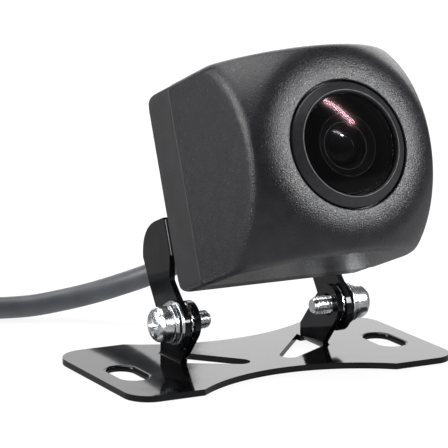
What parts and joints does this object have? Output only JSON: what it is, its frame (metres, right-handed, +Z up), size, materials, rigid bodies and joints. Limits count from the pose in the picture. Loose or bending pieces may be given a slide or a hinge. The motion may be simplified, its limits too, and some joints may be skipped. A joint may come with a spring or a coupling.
{
  "type": "backup camera",
  "caption": "Vehicle backup camera: a domed square housing with a round glass lens, tilting on a sheet-metal bracket between two ears of a waisted, slotted base plate, with a coiled cable.",
  "frame": {"origin": "middle of the base plate's underside", "axes": "+Z up from the mounting surface, -Y the way the lens looks, +X along the tilt axis"},
  "size_m": [0.1308, 0.0812, 0.0536],
  "materials": {
    "black_plastic": "fine spark-eroded texture, matt",
    "bezel_plastic": "smooth satin",
    "black_paint": "gloss black enamel on sheet steel",
    "zinc_plate": "bright zinc plate",
    "cable_jacket": "smooth satin jacket",
    "soft_rubber": "matt moulded rubber",
    "lens_glass": "polished, coated",
    "anodised_aluminium": "black anodised, fine turned",
    "circuit_board": "green solder mask",
    "chip_body": "moulded epoxy",
    "white_nylon": "moulded nylon",
    "brass": "turned, bright",
    "black_nylon": "moulded nylon, low sheen"
  },
  "bodies": {
    "base": {"base_plate": "black_paint", "cable": "cable_jacket", "cable_coil": "cable_jacket", "cable_tail": "cable_jacket", "coil_tie": "black_nylon", "connector_body": "soft_rubber", "connector_insulator": "black_nylon", "connector_seal": "soft_rubber", "contact_1": "brass", "contact_2": "brass", "contact_3": "brass", "contact_4": "brass", "flat_washer_left": "zinc_plate", "flat_washer_right": "zinc_plate", "lock_washer_left": "zinc_plate", "lock_washer_right": "zinc_plate", "spring_washer_left": "zinc_plate", "spring_washer_right": "zinc_plate"},
    "camera": {"camera_bracket": "black_paint", "bracket_screw_left": "zinc_plate", "bracket_screw_right": "zinc_plate", "rear_cover": "black_plastic", "case_gasket": "soft_rubber", "front_shell": "black_plastic", "case_screw_1": "zinc_plate", "case_screw_2": "zinc_plate", "case_screw_3": "zinc_plate", "case_screw_4": "zinc_plate", "lens_bezel": "bezel_plastic", "bezel_seal": "soft_rubber", "front_glass": "lens_glass", "lens_barrel": "anodised_aluminium", "lens_retainer": "anodised_aluminium", "lens_element_inner": "lens_glass", "lens_element_rear": "lens_glass", "lens_holder": "black_nylon", "ir_filter": "lens_glass", "sensor_board": "circuit_board", "image_sensor": "chip_body", "power_board": "circuit_board", "board_standoff_1": "brass", "board_standoff_2": "brass", "board_standoff_3": "brass", "board_standoff_4": "brass", "board_connector": "black_nylon", "image_processor": "chip_body", "power_inductor": "chip_body", "filter_capacitor": "zinc_plate", "cable_header": "white_nylon", "cable_gland": "soft_rubber", "cable_clamp": "black_nylon", "inner_jacket": "cable_jacket", "inner_leads": "cable_jacket"},
    "screw_left": {"pivot_screw_left": "zinc_plate"},
    "screw_right": {"pivot_screw_right": "zinc_plate"},
    "plug_nut": {"coupling_nut": "black_nylon"}
  },
  "joints": [
    {"name": "tilt", "type": "hinge", "parent": "base", "child": "camera", "pos_m": [0, -0.0011, 0.0081], "axis": [-1, 0, 0], "range_deg": [-40, 40], "deforming": ["cable"]},
    {"name": "left_screw_turn", "type": "hinge", "parent": "base", "child": "screw_left", "pos_m": [-0.014, -0.0011, 0.0081], "axis": [-1, 0, 0], "continuous": true},
    {"name": "right_screw_turn", "type": "hinge", "parent": "base", "child": "screw_right", "pos_m": [0.014, -0.0011, 0.0081], "axis": [1, 0, 0], "continuous": true},
    {"name": "nut_turn", "type": "hinge", "parent": "base", "child": "plug_nut", "pos_m": [-0.096, -0.006, 0.0059], "axis": [0, -1, 0], "continuous": true}
  ]
}
